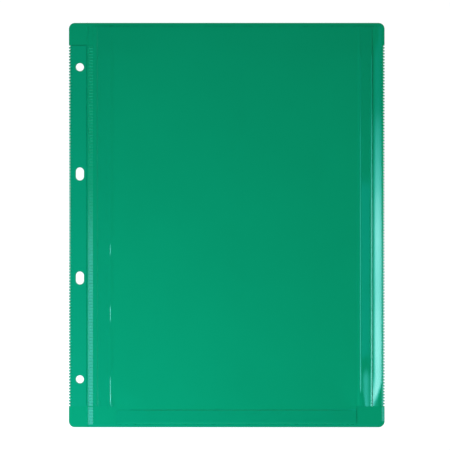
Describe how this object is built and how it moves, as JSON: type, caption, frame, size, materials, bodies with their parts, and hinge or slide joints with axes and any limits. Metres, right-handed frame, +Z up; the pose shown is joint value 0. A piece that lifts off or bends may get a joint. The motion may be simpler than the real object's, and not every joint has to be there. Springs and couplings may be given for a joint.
{
  "type": "pocket page for a ring album",
  "caption": "Loose-leaf page of glossy green film with a punched ring margin, knurled weld seams and a pleated pocket, open at the top, whose front panel lifts off the back.",
  "frame": {"origin": "under the middle of the page, on the underside of the back film", "axes": "+X from the punched margin to the free edge, +Y towards the open mouth of the pocket, +Z up through the page"},
  "size_m": [0.2428, 0.311, 0.0015],
  "materials": {
    "film": "glossy dyed vinyl film",
    "strip": "glossy dyed vinyl film, thicker",
    "weld": "glossy fused vinyl with pressed ribs"
  },
  "bodies": {
    "binding_margin": {"margin_back_film": "film", "hole_reinforcement_strip": "strip", "margin_edge_weld": "weld"},
    "page": {"page_back_film": "film", "left_weld": "weld", "left_corner_weld": "weld", "left_flange": "film", "left_corner_flap": "film", "right_weld": "weld", "right_corner_weld": "weld", "right_flange": "film", "right_corner_flap": "film", "bottom_weld": "weld", "bottom_flange": "film"},
    "front_panel": {"front_panel": "film"},
    "left_leaf_lower": {"left_leaf_lower": "film"},
    "left_leaf_upper": {"left_leaf_upper": "film"},
    "right_leaf_lower": {"right_leaf_lower": "film"},
    "right_leaf_upper": {"right_leaf_upper": "film"},
    "bottom_leaf_lower": {"bottom_leaf_lower": "film"},
    "bottom_leaf_upper": {"bottom_leaf_upper": "film"}
  },
  "joints": [
    {"name": "page_turn", "type": "hinge", "parent": "binding_margin", "child": "page", "pos_m": [-0.1072, 0, 0.0001], "axis": [0, -1, 0], "range_deg": [0, 90]},
    {"name": "pocket_lift", "type": "slide", "parent": "page", "child": "front_panel", "axis": [0, 0, 1], "range_m": [0, 0.0111]},
    {"name": "left_base_fold", "type": "hinge", "parent": "page", "child": "left_leaf_lower", "pos_m": [-0.0992, 0, 0.0004], "axis": [0, -1, 0], "range_deg": [0, 35]},
    {"name": "left_panel_fold", "type": "hinge", "parent": "front_panel", "child": "left_leaf_upper", "pos_m": [-0.0992, 0, 0.00131], "axis": [0, 1, 0], "range_deg": [0, 35]},
    {"name": "right_base_fold", "type": "hinge", "parent": "page", "child": "right_leaf_lower", "pos_m": [0.1116, 0, 0.0004], "axis": [0, 1, 0], "range_deg": [0, 35]},
    {"name": "right_panel_fold", "type": "hinge", "parent": "front_panel", "child": "right_leaf_upper", "pos_m": [0.1116, 0, 0.00131], "axis": [0, -1, 0], "range_deg": [0, 35]},
    {"name": "bottom_base_fold", "type": "hinge", "parent": "page", "child": "bottom_leaf_lower", "pos_m": [0.00745, -0.152, 0.0004], "axis": [1, 0, 0], "range_deg": [0, 35]},
    {"name": "bottom_panel_fold", "type": "hinge", "parent": "front_panel", "child": "bottom_leaf_upper", "pos_m": [0.00745, -0.152, 0.00131], "axis": [-1, 0, 0], "range_deg": [0, 35]}
  ],
  "couplings": [
    {"joint": "left_base_fold", "follows": "pocket_lift", "rad_per_m": 54.95},
    {"joint": "left_panel_fold", "follows": "pocket_lift", "rad_per_m": 54.95},
    {"joint": "right_base_fold", "follows": "pocket_lift", "rad_per_m": 54.95},
    {"joint": "right_panel_fold", "follows": "pocket_lift", "rad_per_m": 54.95},
    {"joint": "bottom_base_fold", "follows": "pocket_lift", "rad_per_m": 54.95},
    {"joint": "bottom_panel_fold", "follows": "pocket_lift", "rad_per_m": 54.95}
  ]
}
